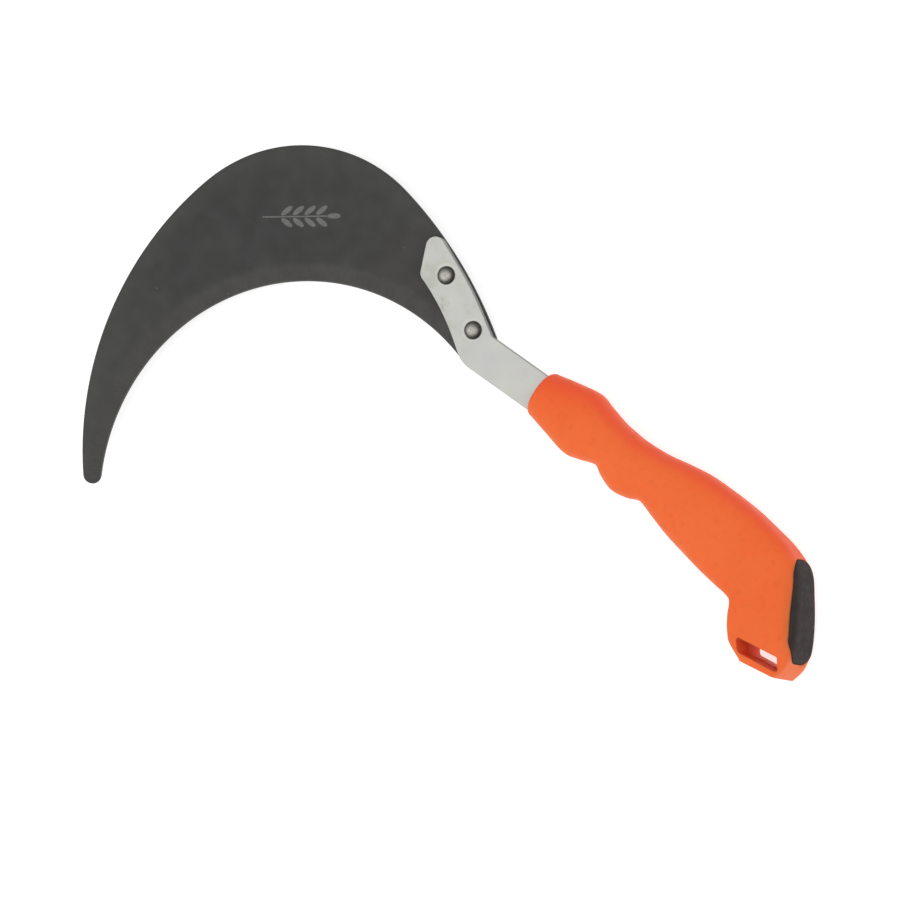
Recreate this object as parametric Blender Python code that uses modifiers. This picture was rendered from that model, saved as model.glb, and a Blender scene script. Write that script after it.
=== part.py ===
"""Hand sickle: a riveted crescent blade on a bent steel tang, in a moulded handle with a rubber heel pad.

The tool lies flat. X runs along the tang from blade to heel, Y across it towards the back of the blade,
and Z up. Sizes are drawn in millimetres around the point where the tang enters the handle, at the middle
of the tang's thickness. The empty "sickle" then carries every part, so that the whole object stands on
Z = 0 with its bounding box centred on the origin.
"""

import math

import bmesh
import bpy
import numpy as np
from mathutils import Matrix, Vector

MM = 0.001
GAP = 0.3  # clearance between neighbouring pieces, mm
CUT = 2.0  # how far a cutter runs past the face it cuts, mm

# Blade: a crescent between one cutting arc and three tangent back arcs.
BLADE_THICK = 1.8
EDGE_CENTRE = (-60.4, -90.6)
EDGE_RADIUS = 87.0
CROWN_CENTRE = (-105.6, -28.0)
CROWN_RADIUS = 64.5
FLANK_RADIUS = 135.0
SPINE_RADIUS = 180.0
FLANK_JOIN = 161.8  # degrees round the crown where the flank arc takes over
SPINE_JOIN = 79.0  # degrees round the crown where the spine arc takes over
TIP_RADIUS = 3.7
BLADE_HEEL = ((-27.0, 7.5), (-36.0, -7.0))  # the straight end hidden under the strap
GRIND_WIDTH = 7.5
EDGE_LAND = 0.25  # thickness left at the cutting edge

# Tang strap: paddle, neck and hidden tang cut from one strip.
STRAP_THICK = 3.0
NECK_WIDTH = 15.7
TANG_WIDTH = 12.0
TANG_LENGTH = 92.0
SHOULDER_X = 4.0
BARB_DEPTH = 1.4
BARB_PITCH = 16.0
BARB_COUNT = 4
BARB_TAPER = 0.3  # how much narrower each side of the tang is after each barb

# Rivets, both with the same form.
RIVET_FRONT = (-58.0, 17.4)
RIVET_REAR = (-35.9, 5.6)
SHANK_RADIUS = 2.0
HEAD_RADIUS = 3.6
HEAD_HEIGHT = 2.2
TAIL_RADIUS = 3.2
TAIL_HEIGHT = 1.4
TAIL_RIM = 0.4  # height of the tail's straight rim
DOME_STEPS = 7

# Handle: (palm side x, y), (back side x, y), half thickness and squareness of each section.
MOUTH_ROUND = 3.0
TOE_ROUND = 0.5
END_TURNS = (20, 40, 60, 75, 90)  # degrees round the rounding of each end where it has a ring
SECTIONS = (
    ((4.7, -9.3), (4.7, 10.8), 9.2, 2.1),
    ((13.0, -11.1), (12.5, 12.5), 9.9, 2.3),
    ((24.5, -13.45), (23.5, 14.2), 10.8, 2.5),
    ((31.0, -12.3), (30.0, 12.6), 11.0, 2.5),
    ((38.9, -10.0), (38.5, 10.5), 10.8, 2.5),
    ((44.2, -12.6), (44.0, 9.9), 11.0, 2.5),
    ((50.3, -14.6), (49.5, 9.5), 11.0, 2.5),
    ((57.0, -13.7), (56.0, 9.7), 11.1, 2.5),
    ((63.0, -11.6), (63.0, 10.4), 11.3, 2.5),
    ((71.0, -13.8), (71.5, 12.0), 11.6, 2.5),
    ((80.0, -16.4), (81.0, 13.3), 11.8, 2.6),
    ((90.0, -18.4), (92.0, 13.4), 12.0, 2.7),
    ((100.0, -20.2), (105.0, 12.8), 12.0, 2.9),
    ((109.0, -21.25), (117.0, 11.0), 12.0, 3.4),
    ((116.0, -21.85), (127.0, 8.8), 12.0, 4.2),
    ((119.1, -23.0), (136.4, 4.3), 12.1, 5.5),
    ((121.7, -27.1), (142.8, -4.1), 12.6, 7.0),
    ((124.5, -31.1), (149.2, -13.9), 13.0, 8.0),
    ((127.2, -34.2), (153.8, -22.7), 13.3, 8.0),
    ((128.5, -35.3), (155.2, -28.9), 13.2, 9.0),
    ((131.8, -36.9), (154.9, -32.6), 13.0, 10.0),
    ((136.6, -38.9), (153.8, -36.4), 12.7, 10.0),
)
RING_POINTS = 28
RINGS_PER_SECTION = 3

# Lanyard slot through the toe: corners with their radii, and the step where the two mould cores meet.
SLOT_CORNERS = (
    (131.3, -31.76, 0.9),
    (135.2, -36.6, 1.8),
    (154.3, -34.4, 1.0),
    (150.6, -29.1, 1.0),
)
SLOT_STEP = 0.4

# Heel pad: a tapered oval seen square to the back of the heel.
PAD_ENDS = ((133.0, 6.6), (156.2, -27.6))
PAD_HALF_WIDTHS = (9.6, 12.1, 12.6)  # at its top, middle and bottom
PAD_CORNER_RADII = (8.0, 8.5)  # at its top and bottom
PAD_SIDE_RADIUS = 150.0
PAD_SEAT = 2.8  # how far the flat seat lies inside the line between the pad's ends
PAD_PROUD = 0.25
PAD_REACH = 12.0  # how far the pad's block runs out past that line, before it is crowned

CURVE_STEP = 4.0  # longest straight run on a drawn arc, mm


def clear_scene():
    for obj in list(bpy.data.objects):
        bpy.data.objects.remove(obj, do_unlink=True)


def collection(name, hidden=False):
    made = bpy.data.collections.new(name)
    bpy.context.scene.collection.children.link(made)
    made.hide_render = hidden
    return made


def material(name, colour, roughness, metallic=0.0):
    made = bpy.data.materials.new(name)
    made.use_nodes = True
    shader = made.node_tree.nodes["Principled BSDF"]
    shader.inputs["Base Color"].default_value = (*colour, 1.0)
    shader.inputs["Roughness"].default_value = roughness
    shader.inputs["Metallic"].default_value = metallic
    return made


# Plane geometry, in millimetres.


def polar(centre, radius, degrees):
    turn = math.radians(degrees)
    return (centre[0] + radius * math.cos(turn), centre[1] + radius * math.sin(turn))


def bearing(centre, point):
    return math.degrees(math.atan2(point[1] - centre[1], point[0] - centre[0]))


def arc(centre, radius, start, end):
    """Points from start to end degrees, both included."""
    length = abs(math.radians(end - start)) * radius
    steps = max(4, math.ceil(length / CURVE_STEP))
    return [polar(centre, radius, start + (end - start) * i / steps) for i in range(steps + 1)]


def inner_tangent_centre(centre, radius, other_radius, degrees):
    """Centre of the circle that touches the given one at a bearing and curves the same way."""
    return polar(centre, radius - other_radius, degrees)


def circles_meet(centre_a, radius_a, centre_b, radius_b):
    """The two points where two circles cross."""
    a, b = Vector(centre_a), Vector(centre_b)
    apart = (b - a).length
    along = (radius_a**2 - radius_b**2 + apart**2) / (2 * apart)
    off = math.sqrt(radius_a**2 - along**2)
    axis = (b - a) / apart
    side = Vector((-axis.y, axis.x))
    return [tuple(a + axis * along + side * off * sign) for sign in (1, -1)]


def rounded(corners, segments=5):
    """A closed outline through (x, y, radius) corners, each replaced by its fillet."""
    points = []
    for i, (x, y, radius) in enumerate(corners):
        here = Vector((x, y))
        back = (Vector(corners[i - 1][:2]) - here).normalized()
        ahead = (Vector(corners[(i + 1) % len(corners)][:2]) - here).normalized()
        half = back.angle(ahead) / 2
        if radius == 0:
            points.append(tuple(here))
            continue
        centre = here + (back + ahead).normalized() * radius / math.sin(half)
        start = here + back * radius / math.tan(half) - centre
        end = here + ahead * radius / math.tan(half) - centre
        sweep = start.angle_signed(end)
        for step in range(segments + 1):
            swung = Matrix.Rotation(-sweep * step / segments, 2) @ start
            points.append(tuple(centre + swung))
    return points


def drawn_in(corners, distance):
    """The same corners with every side of the outline moved in, and the radii kept."""
    moved = []
    for i, (x, y, radius) in enumerate(corners):
        here = Vector((x, y))
        back = (Vector(corners[i - 1][:2]) - here).normalized()
        ahead = (Vector(corners[(i + 1) % len(corners)][:2]) - here).normalized()
        inward = (back + ahead).normalized() / math.sin(back.angle(ahead) / 2)
        moved.append((*(here + inward * distance), radius))
    return moved


# Solids.


def finish_mesh(bm, name, target, look=None):
    """Turns the bmesh, drawn in millimetres, into an object in metres with its faces pointing out."""
    bmesh.ops.scale(bm, vec=(MM, MM, MM), verts=bm.verts)
    bmesh.ops.recalc_face_normals(bm, faces=bm.faces)
    mesh = bpy.data.meshes.new(name)
    bm.to_mesh(mesh)
    bm.free()
    obj = bpy.data.objects.new(name, mesh)
    target.objects.link(obj)
    if look:
        mesh.materials.append(look)
    else:
        obj.hide_render = True
        obj.display_type = "WIRE"
    return obj


def plate(name, outline, low, high, target, look=None):
    """A flat outline as a filled 2D curve, made a closed mesh between two heights."""
    curve = bpy.data.curves.new(name, "CURVE")
    curve.dimensions = "2D"
    curve.fill_mode = "BOTH"
    curve.extrude = (high - low) / 2
    spline = curve.splines.new("POLY")
    spline.points.add(len(outline) - 1)
    for point, (x, y) in zip(spline.points, outline):
        point.co = (x, y, 0, 1)
    spline.use_cyclic_u = True
    drawn = bpy.data.objects.new(name + "_curve", curve)
    bpy.context.scene.collection.objects.link(drawn)
    bpy.context.view_layer.update()
    graph = bpy.context.evaluated_depsgraph_get()
    mesh = bpy.data.meshes.new_from_object(drawn.evaluated_get(graph))
    bpy.data.objects.remove(drawn, do_unlink=True)
    bm = bmesh.new()
    bm.from_mesh(mesh)
    bpy.data.meshes.remove(mesh)
    bmesh.ops.remove_doubles(bm, verts=bm.verts, dist=0.001)
    bmesh.ops.dissolve_limit(bm, angle_limit=0.001, verts=bm.verts, edges=bm.edges)
    bmesh.ops.translate(bm, vec=(0, 0, (low + high) / 2), verts=bm.verts)
    return finish_mesh(bm, name, target, look)


def turned(name, profile, centre, target, look=None, steps=32):
    """A profile of (radius, height), top to bottom on its outer side, turned round a vertical axis."""
    bm = bmesh.new()
    verts = [bm.verts.new((radius, 0, height)) for radius, height in profile]
    for first, second in zip(verts, verts[1:]):
        bm.edges.new((first, second))
    obj = finish_mesh(bm, name, target, look)
    obj.location = (centre[0] * MM, centre[1] * MM, 0)
    screw = obj.modifiers.new("Turn", "SCREW")
    screw.axis = "Z"
    screw.steps = screw.render_steps = steps
    screw.use_merge_vertices = True
    screw.merge_threshold = 0.00001
    screw.use_smooth_shade = True
    return obj


def boolean(obj, cutter, operation="DIFFERENCE"):
    """Applies as a modifier that stays on the object."""
    modifier = obj.modifiers.new(cutter.name, "BOOLEAN")
    modifier.operation = operation
    modifier.object = cutter
    modifier.solver = "EXACT"


def smooth(obj, degrees=35):
    obj.data.shade_smooth()
    obj.data.set_sharp_from_angle(angle=math.radians(degrees))


# Blade.


def blade_outline():
    """Back of the blade from its heel to the tip, then the cutting edge back to the heel."""
    spine_centre = inner_tangent_centre(CROWN_CENTRE, CROWN_RADIUS, SPINE_RADIUS, SPINE_JOIN)
    flank_centre = inner_tangent_centre(CROWN_CENTRE, CROWN_RADIUS, FLANK_RADIUS, FLANK_JOIN)
    tip_centre = min(
        circles_meet(flank_centre, FLANK_RADIUS - TIP_RADIUS, EDGE_CENTRE, EDGE_RADIUS + TIP_RADIUS),
        key=lambda point: point[0],
    )
    flank_end = bearing(flank_centre, tip_centre) % 360
    tip_end = bearing(tip_centre, EDGE_CENTRE) % 360 + 360
    edge_start = bearing(EDGE_CENTRE, tip_centre) % 360
    heel_back, heel_edge = BLADE_HEEL
    spine = arc(spine_centre, SPINE_RADIUS, bearing(spine_centre, heel_back), SPINE_JOIN)
    crown = arc(CROWN_CENTRE, CROWN_RADIUS, SPINE_JOIN, FLANK_JOIN)
    flank = arc(flank_centre, FLANK_RADIUS, FLANK_JOIN, flank_end)
    tip = arc(tip_centre, TIP_RADIUS, flank_end, tip_end)
    edge = arc(EDGE_CENTRE, EDGE_RADIUS, edge_start, bearing(EDGE_CENTRE, heel_edge))
    return spine + crown[1:] + flank[1:] + tip[1:] + edge[1:]


def make_blade(parts, cutters, look):
    top = -STRAP_THICK / 2 - GAP
    low = top - BLADE_THICK
    blade = plate("blade", blade_outline(), low, top, parts, look)
    slope = (BLADE_THICK - EDGE_LAND) / GRIND_WIDTH
    rise = top + CUT - (low + EDGE_LAND)
    grind = turned(
        "grind_cutter",
        (
            (0, top + CUT),
            (EDGE_RADIUS + rise / slope, top + CUT),
            (EDGE_RADIUS - CUT, low + EDGE_LAND - CUT * slope),
            (0, low + EDGE_LAND - CUT * slope),
        ),
        EDGE_CENTRE,
        cutters,
        steps=160,
    )
    boolean(blade, grind)
    smooth(blade, 5)
    return blade


# Tang strap.


def strap_outline(grow=0.0, barbs=True):
    """Paddle, neck and tang. With grow and no barbs it is the outline of the handle's socket."""
    neck = NECK_WIDTH / 2 + grow
    tang = TANG_WIDTH / 2 + grow
    end = TANG_LENGTH + grow
    lower = [(SHOULDER_X + grow, -neck, 0.5), (SHOULDER_X + grow, -tang, 0.5)]
    if barbs:
        for i in range(BARB_COUNT):
            x = SHOULDER_X + BARB_PITCH * (i + 1)
            lower += [(x, -tang, 0), (x, -tang + BARB_DEPTH, 0)]
            tang -= BARB_TAPER
            lower += [(x + 2 * BARB_DEPTH, -tang, 0)]
    lower += [(end - 3, -tang, 1.0), (end, -tang + 3, 1.0)]
    upper = [(x, -y, radius) for x, y, radius in reversed(lower)]
    paddle = [
        (-27.8, 7.85, 2.0),
        (-46.2, 19.1, 150.0),
        (-76.0, 31.9, 4.0),
        (-67.6, 11.3, 3.5),
        (-52.8, 6.2, 100.0),
        (-32.8, -7.85, 14.0),
    ]
    return rounded(lower + upper + paddle)


def make_strap(parts, look):
    half = STRAP_THICK / 2
    return plate("tang_strap", strap_outline(), -half, half, parts, look)


def drill_for_rivets(obj, cutters, low, high):
    for name, centre in (("front", RIVET_FRONT), ("rear", RIVET_REAR)):
        radius = SHANK_RADIUS + GAP
        profile = ((0, high), (radius, high), (radius, low), (0, low))
        drill = turned(f"{obj.name}_{name}_drill", profile, centre, cutters, steps=24)
        boolean(obj, drill)


def make_rivet(name, centre, parts, look):
    head_base = STRAP_THICK / 2 + GAP
    tail_top = -STRAP_THICK / 2 - 2 * GAP - BLADE_THICK
    profile = []
    for i in range(DOME_STEPS + 1):
        turn = math.pi / 2 * i / DOME_STEPS
        profile.append((HEAD_RADIUS * math.sin(turn), head_base + HEAD_HEIGHT * math.cos(turn)))
    profile.append((SHANK_RADIUS, head_base))
    profile.append((SHANK_RADIUS, tail_top))
    profile.append((TAIL_RADIUS, tail_top))
    for i in range(DOME_STEPS + 1):
        turn = math.pi / 2 * (1 - i / DOME_STEPS)
        height = TAIL_RIM + (TAIL_HEIGHT - TAIL_RIM) * math.cos(turn)
        profile.append((TAIL_RADIUS * math.sin(turn), tail_top - height))
    return turned(name, profile, centre, parts, look)


# Handle and heel pad.


def through(values, steps):
    """A smooth run through the given rows, with steps rows for each interval (Catmull-Rom)."""
    rows = np.array(values, float)
    padded = np.vstack([2 * rows[0] - rows[1], rows, 2 * rows[-1] - rows[-2]])
    out = []
    for i in range(len(rows) - 1):
        before, start, end, after = padded[i : i + 4]
        for t in np.arange(steps) / steps:
            bend = 2 * before - 5 * start + 4 * end - after
            twist = 3 * start - before - 3 * end + after
            out.append(start + 0.5 * t * (end - before + t * (bend + t * twist)))
    out.append(rows[-1])
    return np.array(out)


def grip_rings(grow):
    """Rings of points round the handle from its mouth to its toe."""
    rows = [(*palm, *back, half, square) for palm, back, half, square in SECTIONS]
    rows = through(rows, RINGS_PER_SECTION)
    ends = []
    for row, radius, sign in ((rows[0], MOUTH_ROUND, -1), (rows[-1], TOE_ROUND, 1)):
        for degrees in END_TURNS:
            inset = radius * (1 - math.cos(math.radians(degrees)))
            ends.append((row, inset, sign * radius * math.sin(math.radians(degrees))))
    count = len(END_TURNS)
    sections = [*reversed(ends[:count]), *((row, 0.0, 0.0) for row in rows), *ends[count:]]
    rings = []
    for row, inset, ahead in sections:
        palm, back = row[0:2], row[2:4]
        across = (back - palm) / np.linalg.norm(back - palm)
        forward = np.array((across[1], -across[0]))
        middle = (palm + back) / 2 + forward * (ahead + math.copysign(grow, ahead) * (ahead != 0))
        half_width = np.linalg.norm(back - palm) / 2 - inset + grow
        half_thick = row[4] - inset + grow
        ring = []
        for i in range(RING_POINTS):
            turn = 2 * math.pi * i / RING_POINTS
            side = math.copysign(abs(math.cos(turn)) ** (2 / row[5]), math.cos(turn))
            rise = math.copysign(abs(math.sin(turn)) ** (2 / row[5]), math.sin(turn))
            x, y = middle + across * half_width * side
            ring.append((x, y, half_thick * rise))
        rings.append(ring)
    return rings


def grip_body(name, grow, target, look=None):
    """The handle's outer form as a closed loft."""
    bm = bmesh.new()
    rings = [[bm.verts.new(point) for point in ring] for ring in grip_rings(grow)]
    for first, second in zip(rings, rings[1:]):
        for i in range(RING_POINTS):
            j = (i + 1) % RING_POINTS
            bm.faces.new((first[i], first[j], second[j], second[i]))
    bm.faces.new(rings[0])
    bm.faces.new(rings[-1])
    return finish_mesh(bm, name, target, look)


def pad_block(name, grow, target, look=None):
    """A block behind the heel with the pad's oval outline, from the pad's seat outwards."""
    top, bottom = Vector(PAD_ENDS[0]), Vector(PAD_ENDS[1])
    half_length = (bottom - top).length / 2 + grow
    narrow, middle, wide = (half_width + grow for half_width in PAD_HALF_WIDTHS)
    narrow_radius, wide_radius = (radius + grow for radius in PAD_CORNER_RADII)
    oval = rounded(
        [
            (half_length, wide, wide_radius),
            (0, middle, PAD_SIDE_RADIUS),
            (-half_length, narrow, narrow_radius),
            (-half_length, -narrow, narrow_radius),
            (0, -middle, PAD_SIDE_RADIUS),
            (half_length, -wide, wide_radius),
        ],
        segments=8,
    )
    block = plate(name, oval, -PAD_SEAT - grow, PAD_REACH, target, look)
    down = (bottom - top).normalized()
    outward = Vector((-down.y, down.x))
    frame = Matrix(((down.x, 0, outward.x, 0), (down.y, 0, outward.y, 0), (0, -1, 0, 0), (0, 0, 0, 1)))
    centre = (top + bottom) / 2 * MM
    block.data.transform(Matrix.Translation((centre.x, centre.y, 0)) @ frame)
    return block


def slot_cutters(cutters):
    """The upper core runs down to mid-thickness; the lower one is a little smaller, which leaves a step."""
    high = max(section[2] for section in SECTIONS) + CUT
    upper = plate("slot_upper_cutter", rounded(SLOT_CORNERS), 0, high, cutters)
    lower_outline = rounded(drawn_in(SLOT_CORNERS, SLOT_STEP))
    lower = plate("slot_lower_cutter", lower_outline, -high, CUT, cutters)
    return upper, lower


def make_grip(parts, cutters, look):
    grip = grip_body("handle_grip", 0.0, parts, look)
    half = STRAP_THICK / 2 + GAP
    socket = plate("socket_cutter", strap_outline(GAP, barbs=False), -half, half, cutters)
    boolean(grip, socket)
    for cutter in slot_cutters(cutters):
        boolean(grip, cutter)
    boolean(grip, pad_block("pad_pocket_cutter", GAP, cutters))
    smooth(grip)
    return grip


def make_pad(parts, cutters, look):
    pad = pad_block("heel_pad", 0.0, parts, look)
    boolean(pad, grip_body("pad_crown_cutter", PAD_PROUD, cutters), "INTERSECT")
    smooth(pad)
    return pad


def stand_on_origin(parts):
    """Parents every part to one empty and moves that so the object stands centred on the origin."""
    carrier = bpy.data.objects.new("sickle", None)
    bpy.context.scene.collection.objects.link(carrier)
    bpy.context.view_layer.update()
    graph = bpy.context.evaluated_depsgraph_get()
    points = []
    for obj in parts.objects:
        evaluated = obj.evaluated_get(graph)
        points += [obj.matrix_world @ Vector(corner) for corner in evaluated.bound_box]
    low = Vector([min(point[i] for point in points) for i in range(3)])
    high = Vector([max(point[i] for point in points) for i in range(3)])
    for group in bpy.context.scene.collection.children:
        for obj in group.objects:
            obj.parent = carrier
    carrier.location = (-(low.x + high.x) / 2, -(low.y + high.y) / 2, -low.z)
    bpy.context.view_layer.update()


def main():
    clear_scene()
    parts = collection("hand_sickle")
    cutters = collection("cutters", hidden=True)
    coated = material("coated_steel", (0.062, 0.061, 0.057), 0.55, 0.3)
    zinc = material("zinc_steel", (0.52, 0.52, 0.49), 0.38, 0.9)
    rivet_steel = material("rivet_steel", (0.36, 0.35, 0.32), 0.4, 0.9)
    orange = material("orange_plastic", (0.87, 0.13, 0.04), 0.5)
    rubber = material("dark_rubber", (0.05, 0.045, 0.042), 0.75)

    blade = make_blade(parts, cutters, coated)
    strap = make_strap(parts, zinc)
    high = STRAP_THICK / 2 + CUT
    low = -STRAP_THICK / 2 - BLADE_THICK - CUT
    drill_for_rivets(blade, cutters, low, high)
    drill_for_rivets(strap, cutters, low, high)
    make_rivet("rivet_front", RIVET_FRONT, parts, rivet_steel)
    make_rivet("rivet_rear", RIVET_REAR, parts, rivet_steel)
    make_grip(parts, cutters, orange)
    make_pad(parts, cutters, rubber)
    stand_on_origin(parts)


main()
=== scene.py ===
"""Looks of the hand sickle: fine meshes, materials, floor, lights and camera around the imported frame.

The pieces are drawn in millimetres around the point where the tang enters the handle, at the middle of the
tang's thickness: X along the tang towards the heel, Y towards the back of the blade, Z up. to_frame() then
puts a finished mesh where the frame has it, in metres. Named lengths are in millimetres, except those
of the studio and the camera.
"""

import math

import bmesh
import bpy
import numpy as np
from mathutils import Matrix, Vector


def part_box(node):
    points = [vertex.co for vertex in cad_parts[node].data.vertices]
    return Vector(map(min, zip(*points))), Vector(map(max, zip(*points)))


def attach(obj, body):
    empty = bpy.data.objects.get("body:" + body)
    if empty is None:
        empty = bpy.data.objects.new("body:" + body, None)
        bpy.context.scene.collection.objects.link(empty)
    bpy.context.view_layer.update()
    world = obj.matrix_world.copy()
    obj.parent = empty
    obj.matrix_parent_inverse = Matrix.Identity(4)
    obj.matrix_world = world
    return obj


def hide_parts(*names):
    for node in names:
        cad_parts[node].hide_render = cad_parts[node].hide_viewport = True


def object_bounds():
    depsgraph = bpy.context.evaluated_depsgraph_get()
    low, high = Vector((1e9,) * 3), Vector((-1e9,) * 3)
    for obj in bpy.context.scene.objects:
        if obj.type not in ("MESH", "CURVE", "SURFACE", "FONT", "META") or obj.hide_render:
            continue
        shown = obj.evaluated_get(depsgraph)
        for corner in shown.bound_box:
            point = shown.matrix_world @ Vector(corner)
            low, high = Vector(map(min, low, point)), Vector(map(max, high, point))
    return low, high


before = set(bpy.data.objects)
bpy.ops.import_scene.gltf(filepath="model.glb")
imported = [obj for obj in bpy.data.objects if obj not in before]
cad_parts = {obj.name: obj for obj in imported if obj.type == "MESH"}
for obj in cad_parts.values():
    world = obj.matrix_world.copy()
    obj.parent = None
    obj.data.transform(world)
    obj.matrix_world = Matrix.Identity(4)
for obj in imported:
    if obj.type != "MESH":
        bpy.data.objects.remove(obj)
CAD_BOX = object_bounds()

MM = 0.001
GAP = 0.3  # clearance between neighbouring pieces
CUT = 2.0  # how far a cutter runs past the face it cuts

# Blade.
BLADE_THICK = 1.8
EDGE_CENTRE = (-60.4, -90.6)
EDGE_RADIUS = 87.0
CROWN_CENTRE = (-105.6, -28.0)
CROWN_RADIUS = 64.5
FLANK_RADIUS = 135.0
SPINE_RADIUS = 180.0
FLANK_JOIN = 161.8  # degrees round the crown where the flank arc takes over
SPINE_JOIN = 79.0  # degrees round the crown where the spine arc takes over
TIP_RADIUS = 3.7
BLADE_HEEL = ((-27.0, 7.5), (-36.0, -7.0))  # the straight end hidden under the strap
GRIND_WIDTH = 7.5
GRIND_SOFTNESS = 1.2  # how far each side of the grind's line its slope fades
GRIND_BEND = 3.0  # how sharply the slope fades
EDGE_LAND = 0.25  # thickness left at the cutting edge
LEAST_LAND = EDGE_LAND * 0.6  # thinnest that the blade gets anywhere
BACK_ROUND = 0.3  # radius broken on the blade's back corners
UNDER_ROUND = BLADE_THICK * 0.3  # most that the corner is broken on the underside
ROUNDED_WIDTH = 1.0  # narrower than this, the back corner stays sharp
CORNER_ROWS = (1.0, 0.6, 0.3, 0.1, 0.0)  # rows over a broken corner, as shares of its width
MOST_CORNER = 0.3  # most of the blade's width that a broken corner takes
BLADE_STATIONS = 320
BLADE_ACROSS = 26
TIP_CROWDING = 1.25  # above 1, the stations stand closer towards the tip

# Tang strap: paddle, neck and hidden tang cut from one strip.
STRAP_THICK = 3.0
STRAP_ROUND = 0.4  # radius of its rolled edges
NECK_WIDTH = 15.7
TANG_WIDTH = 12.0
TANG_LENGTH = 92.0
SHOULDER_X = 4.0
BARB_DEPTH = 1.4
BARB_PITCH = 16.0
BARB_COUNT = 4
BARB_TAPER = 0.3  # how much narrower each side of the tang is after each barb
SHOULDER_RADIUS = 0.5
TANG_NOSE = 3.0  # length and width of each cut corner at the tang's end
TANG_NOSE_RADIUS = 1.0
PADDLE_CORNERS = (  # x, y and radius, from the neck's upper side round to its lower side
    (-27.8, 7.85, 2.0),
    (-46.2, 19.1, 150.0),
    (-76.0, 31.9, 4.0),
    (-67.6, 11.3, 3.5),
    (-52.8, 6.2, 100.0),
    (-32.8, -7.85, 14.0),
)

# Rivets, both with the same form.
RIVET_FRONT = (-58.0, 17.4)
RIVET_REAR = (-35.9, 5.6)
SHANK_RADIUS = 2.0
HEAD_RADIUS = 3.6
HEAD_HEIGHT = 2.2
HEAD_TUCK = 0.12  # how far the head's foot is tucked in
HEAD_FULLNESS = (0.9, 0.85)  # below 1, the dome is fuller than half an ellipse
TAIL_RADIUS = 3.2
TAIL_HEIGHT = 1.4
TAIL_BEVEL = 0.1  # how far in the tail's upper corner is broken
TAIL_RIM = 0.15  # how far down it is broken
TAIL_DOME_START = 0.25  # how far under the tail's top its dome starts
TAIL_DOME_HEIGHT = TAIL_HEIGHT - 0.4
TAIL_FLAT = 0.05  # how far the middle of the tail lies inside its height
RIVET_SEAT = GAP * 0.2  # gap under a head and over a tail
RIVET_STEPS = 72
DRILL_STEPS = 48

# Handle: (palm side x, y), (back side x, y), half thickness and squareness of each section.
MOUTH_ROUND = 3.0
TOE_ROUND = 0.5
SECTIONS = (
    ((4.7, -9.3), (4.7, 10.8), 9.2, 2.1),
    ((13.0, -11.1), (12.5, 12.5), 9.9, 2.3),
    ((24.5, -13.45), (23.5, 14.2), 10.8, 2.5),
    ((31.0, -12.3), (30.0, 12.6), 11.0, 2.5),
    ((38.9, -10.0), (38.5, 10.5), 10.8, 2.5),
    ((44.2, -12.6), (44.0, 9.9), 11.0, 2.5),
    ((50.3, -14.6), (49.5, 9.5), 11.0, 2.5),
    ((57.0, -13.7), (56.0, 9.7), 11.1, 2.5),
    ((63.0, -11.6), (63.0, 10.4), 11.3, 2.5),
    ((71.0, -13.8), (71.5, 12.0), 11.6, 2.5),
    ((80.0, -16.4), (81.0, 13.3), 11.8, 2.6),
    ((90.0, -18.4), (92.0, 13.4), 12.0, 2.7),
    ((100.0, -20.2), (105.0, 12.8), 12.0, 2.9),
    ((109.0, -21.25), (117.0, 11.0), 12.0, 3.4),
    ((116.0, -21.85), (127.0, 8.8), 12.0, 4.2),
    ((119.1, -23.0), (136.4, 4.3), 12.1, 5.5),
    ((121.7, -27.1), (142.8, -4.1), 12.6, 7.0),
    ((124.5, -31.1), (149.2, -13.9), 13.0, 8.0),
    ((127.2, -34.2), (153.8, -22.7), 13.3, 8.0),
    ((128.5, -35.3), (155.2, -28.9), 13.2, 9.0),
    ((131.8, -36.9), (154.9, -32.6), 13.0, 10.0),
    ((136.6, -38.9), (153.8, -36.4), 12.7, 10.0),
)
END_TURNS = range(9, 91, 9)  # degrees round the rounding of each end where it has a ring
RING_POINTS = 112
RINGS_PER_SECTION = 10

# Lanyard slot through the toe: corners with their radii, and the step where the two mould cores meet.
SLOT_CORNERS = (
    (131.3, -31.76, 0.9),
    (135.2, -36.6, 1.8),
    (154.3, -34.4, 1.0),
    (150.6, -29.1, 1.0),
)
SLOT_STEP = 0.4

# Heel pad: a tapered oval seen square to the back of the heel.
PAD_ENDS = ((133.0, 6.6), (156.2, -27.6))
PAD_HALF_WIDTHS = (9.6, 12.1, 12.6)  # at its top, middle and bottom
PAD_CORNER_RADII = (8.0, 8.5)  # at its top and bottom
PAD_SIDE_RADIUS = 150.0
PAD_SEAT = 2.8  # how far the flat seat lies inside the line between the pad's ends
PAD_PROUD = 0.25
PAD_REACH = 12.0  # how far the pad's block runs out past that line, before it is crowned

CURVE_STEP = 1.0  # longest straight run on a drawn arc
LEAST_STEPS = 6  # fewest straight runs on a drawn arc

# Least angle between faces that stays a crease, in degrees.
BLADE_CREASE = 28
RIVET_CREASE = 50
MOULDED_CREASE = 35

# Heights of the blade's two faces.
BLADE_TOP = -STRAP_THICK / 2 - GAP
BLADE_LOW = BLADE_TOP - BLADE_THICK

# The etched mark, an ear of wheat, and the scuffed place between the rivets.
MARK_CENTRE = (-124.4, 2.5)
MARK_BEARING = 34.0  # degrees from X to the stem
EAR_START = -9.0  # place along the stem of the first grains
GRAIN_PAIRS = 4
GRAIN_PITCH = 5.0
GRAIN_LENGTH = 5.6
GRAIN_WIDTH = 2.1
GRAIN_OUT = 2.4  # distance of a grain's middle from the stem
GRAIN_LEAN = 36.0  # degrees from the stem to a grain
STEM_LENGTH = 8.0
SCUFF_CENTRE = (-52.1, 6.9)
SCUFF_BEARING = -27.0

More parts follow.
